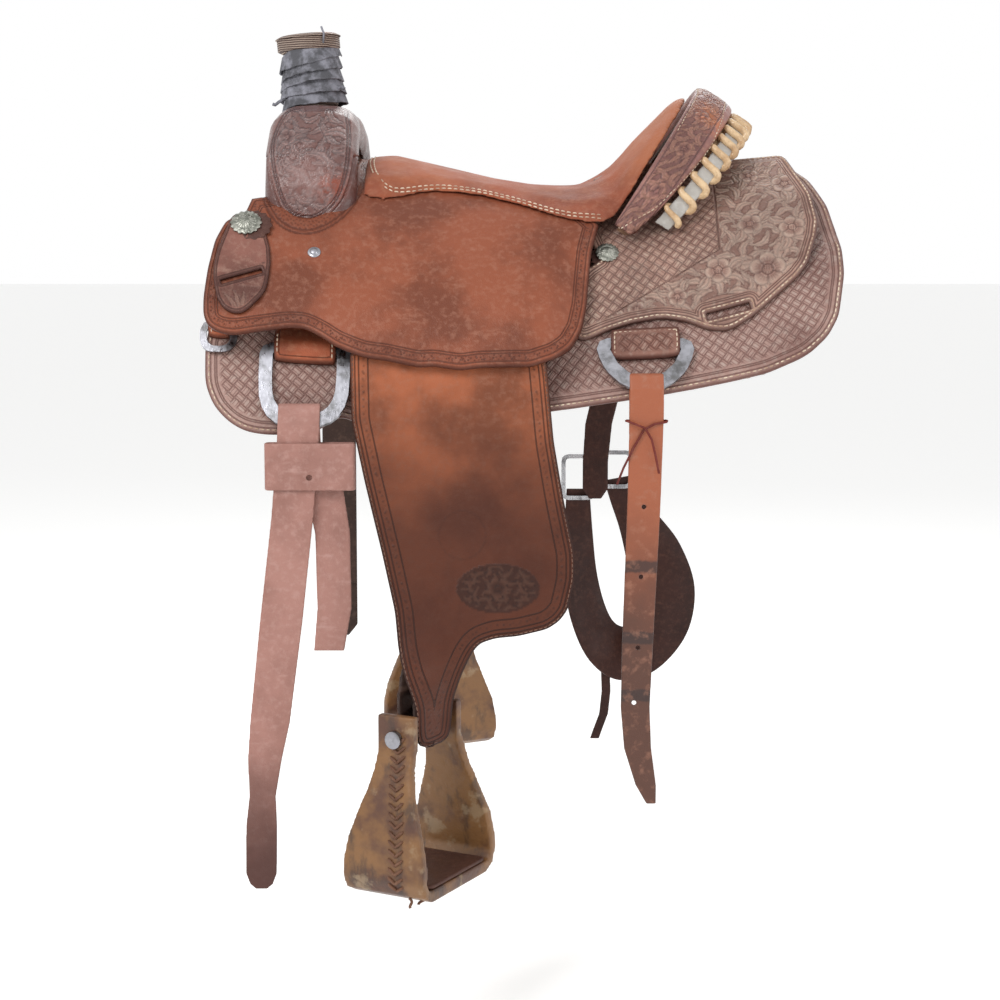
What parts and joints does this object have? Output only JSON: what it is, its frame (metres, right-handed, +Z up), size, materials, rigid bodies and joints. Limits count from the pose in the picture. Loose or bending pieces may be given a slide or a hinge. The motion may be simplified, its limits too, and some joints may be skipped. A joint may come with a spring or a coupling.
{
  "type": "team roping saddle",
  "caption": "Western stock saddle for team roping: leather-covered tree with rubber-wrapped horn, laced cantle, hanging fenders and stirrups, rigging dees and cinch straps.",
  "frame": {"origin": "midway between the two tree bars, at the level of the horse's back under the seat", "axes": "+Z up (the longest side, with the stirrups hanging); +X towards the horse's tail, the horn at -X (the shortest side); -Y the near side, +Y the off side"},
  "size_m": [0.689, 0.8102, 0.9253],
  "materials": {
    "russet_leather": "tooled and oiled",
    "dark_leather": "oiled",
    "tan_leather": "oiled, smooth",
    "latigo_leather": "soft, matt",
    "roughout_leather": "flesh side out, suede-like",
    "red_lace": "soft lace",
    "rawhide": "hard, slightly shiny",
    "fleece": "woolly pile",
    "tree_wood": "covered, hidden",
    "stirrup_wood": "bent wood under rawhide",
    "horn_iron": "painted, hidden under the covers",
    "steel": "worn stainless",
    "nickel_silver": "tarnished",
    "chrome": "bright",
    "black_rubber": "matt"
  },
  "bodies": {
    "saddle": {"skirt_near": "russet_leather", "skirt_off": "russet_leather", "fleece_near": "fleece", "fleece_off": "fleece", "tree_bar_near": "tree_wood", "tree_bar_off": "tree_wood", "rear_jockey_near": "russet_leather", "rear_jockey_off": "russet_leather", "front_rigging_near": "tan_leather", "front_rigging_off": "tan_leather", "rear_rigging_near": "tan_leather", "rear_rigging_off": "tan_leather", "breast_tab_near": "tan_leather", "breast_tab_off": "tan_leather", "latigo_carrier_near": "russet_leather", "latigo_carrier_off": "russet_leather", "front_concho_near": "nickel_silver", "front_concho_off": "nickel_silver", "rear_concho_near": "nickel_silver", "rear_concho_off": "nickel_silver", "tree_fork": "tree_wood", "tree_cantle": "tree_wood", "ground_seat": "dark_leather", "horn": "horn_iron", "horn_cap_cover": "rawhide", "horn_wrap": "black_rubber", "fork_cover": "russet_leather", "gullet_lining": "tan_leather", "seat_jockey": "russet_leather", "padded_seat": "roughout_leather", "cantle_roll": "dark_leather", "cantle_back": "russet_leather", "lacing_core": "dark_leather", "rawhide_lacing": "rawhide"},
    "near_fender": {"fender_near": "russet_leather", "stirrup_leather_near": "dark_leather"},
    "near_stirrup": {"stirrup_near": "stirrup_wood", "stirrup_bolt_near": "steel", "stirrup_tread_near": "dark_leather"},
    "off_fender": {"fender_off": "russet_leather", "stirrup_leather_off": "dark_leather"},
    "off_stirrup": {"stirrup_off": "stirrup_wood", "stirrup_bolt_off": "steel", "stirrup_tread_off": "dark_leather"},
    "near_front_dee": {"front_dee_near": "steel", "latigo_near": "latigo_leather", "latigo_wrap": "latigo_leather"},
    "off_front_dee": {"front_dee_off": "steel", "off_billet": "dark_leather"},
    "near_rear_dee": {"rear_dee_near": "steel", "flank_billet_near": "tan_leather", "billet_tie_near": "red_lace"},
    "off_rear_dee": {"rear_dee_off": "steel", "flank_billet_off": "tan_leather", "cinch_buckle_front": "chrome", "cinch_buckle_back": "chrome", "flank_cinch": "dark_leather", "connector_strap": "dark_leather"},
    "near_breast_dee": {"breast_dee_near": "steel"},
    "off_breast_dee": {"breast_dee_off": "steel"}
  },
  "joints": [
    {"name": "near_fender_swing", "type": "hinge", "parent": "saddle", "child": "near_fender", "pos_m": [-0.09525, -0.13497, 0.04789], "axis": [0, -0.7986, 0.6018], "range_deg": [0, 5]},
    {"name": "near_stirrup_turn", "type": "hinge", "parent": "near_fender", "child": "near_stirrup", "pos_m": [-0.11265, -0.31344, -0.46883], "axis": [0.4695, 0.8829, 0], "range_deg": [-20, 20]},
    {"name": "near_front_dee_lift", "type": "hinge", "parent": "saddle", "child": "near_front_dee", "pos_m": [-0.236, -0.22066, -0.07788], "axis": [-1, 0, 0], "range_deg": [0, 20]},
    {"name": "near_rear_dee_lift", "type": "hinge", "parent": "saddle", "child": "near_rear_dee", "pos_m": [0.124, -0.21677, -0.07347], "axis": [-1, 0, 0], "range_deg": [0, 25]},
    {"name": "near_breast_dee_lift", "type": "hinge", "parent": "saddle", "child": "near_breast_dee", "pos_m": [-0.328, -0.20939, -0.05231], "axis": [-1, 0, 0], "range_deg": [0, 10]},
    {"name": "off_fender_swing", "type": "hinge", "parent": "saddle", "child": "off_fender", "pos_m": [-0.09525, 0.13497, 0.04789], "axis": [0, -0.7986, -0.6018], "range_deg": [-2, 5]},
    {"name": "off_stirrup_turn", "type": "hinge", "parent": "off_fender", "child": "off_stirrup", "pos_m": [-0.11265, 0.31344, -0.46883], "axis": [0.4695, -0.8829, 0], "range_deg": [-20, 20]},
    {"name": "off_front_dee_lift", "type": "hinge", "parent": "saddle", "child": "off_front_dee", "pos_m": [-0.236, 0.22066, -0.07788], "axis": [1, 0, 0], "range_deg": [0, 20]},
    {"name": "off_rear_dee_lift", "type": "hinge", "parent": "saddle", "child": "off_rear_dee", "pos_m": [0.124, 0.21677, -0.07347], "axis": [1, 0, 0], "range_deg": [0, 25]},
    {"name": "off_breast_dee_lift", "type": "hinge", "parent": "saddle", "child": "off_breast_dee", "pos_m": [-0.328, 0.20939, -0.05231], "axis": [1, 0, 0], "range_deg": [0, 10]}
  ]
}
